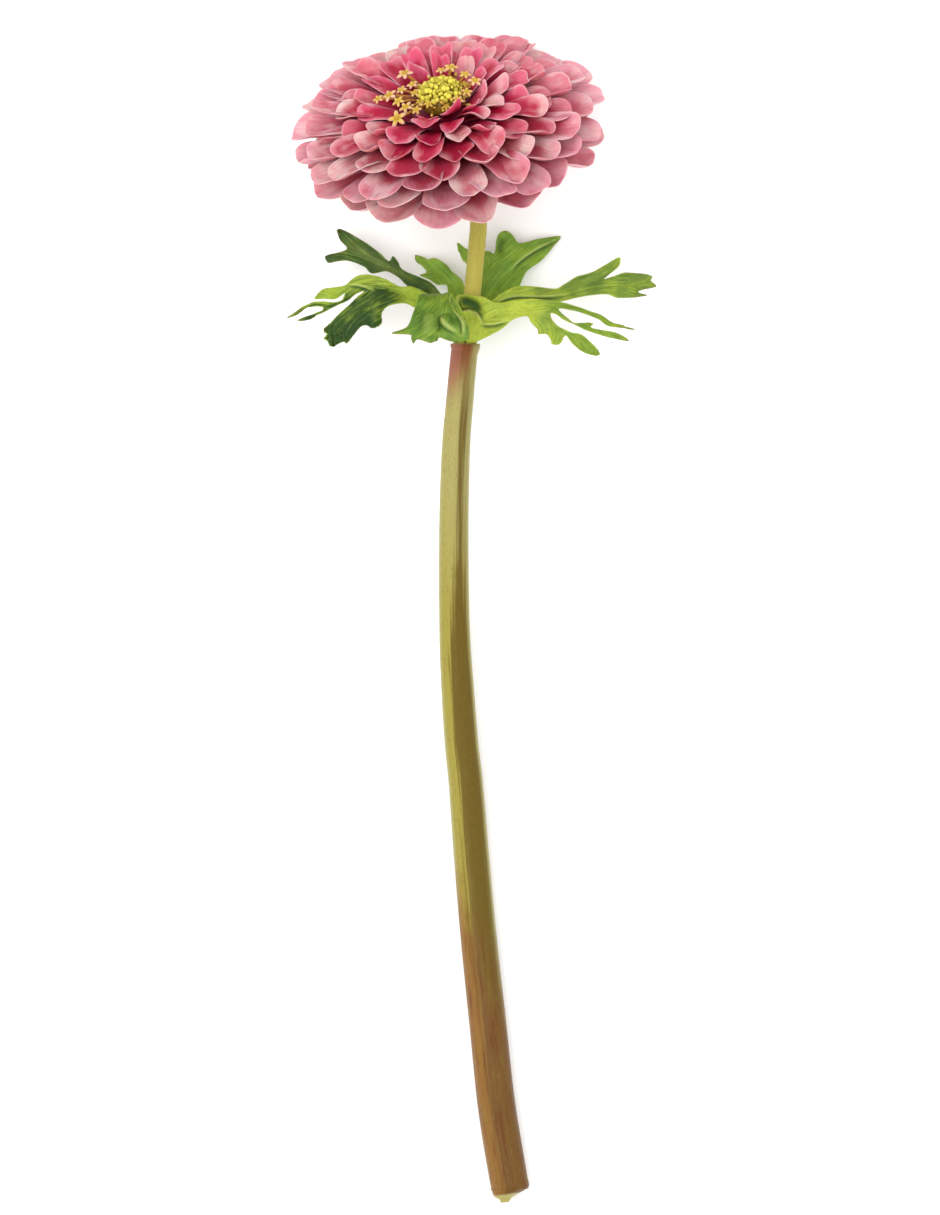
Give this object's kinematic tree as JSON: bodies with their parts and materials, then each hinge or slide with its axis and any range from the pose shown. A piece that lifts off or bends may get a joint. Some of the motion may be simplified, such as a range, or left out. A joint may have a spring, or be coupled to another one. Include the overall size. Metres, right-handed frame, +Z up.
{
  "type": "zinnia flower",
  "caption": "Cut zinnia flower lying down: a double pink head of layered ray petals round a yellow disc, on a long bare stem with a ring of deeply cut leaves.",
  "frame": {"origin": "on the surface that the flower lies on, under the middle of its bounding box", "axes": "+Y along the stem towards the head, +X to the right as seen from above with the head away from the viewer, +Z up from the surface"},
  "size_m": [0.113, 0.3566, 0.0708],
  "materials": {
    "petal": "matte dusty pink petal",
    "floret": "matte yellow floret",
    "bract": "matte dark green scale",
    "leaf": "satin green leaf",
    "stem": "satin olive stem"
  },
  "bodies": {
    "root": {"ray_petals": "petal", "disc_florets": "floret", "involucre": "bract", "stem": "stem", "leaf_upper_left": "leaf", "leaf_lower_left": "leaf", "leaf_front": "leaf", "leaf_right_front": "leaf", "leaf_right": "leaf", "leaf_back": "leaf", "leaf_back_left": "leaf"}
  },
  "joints": []
}
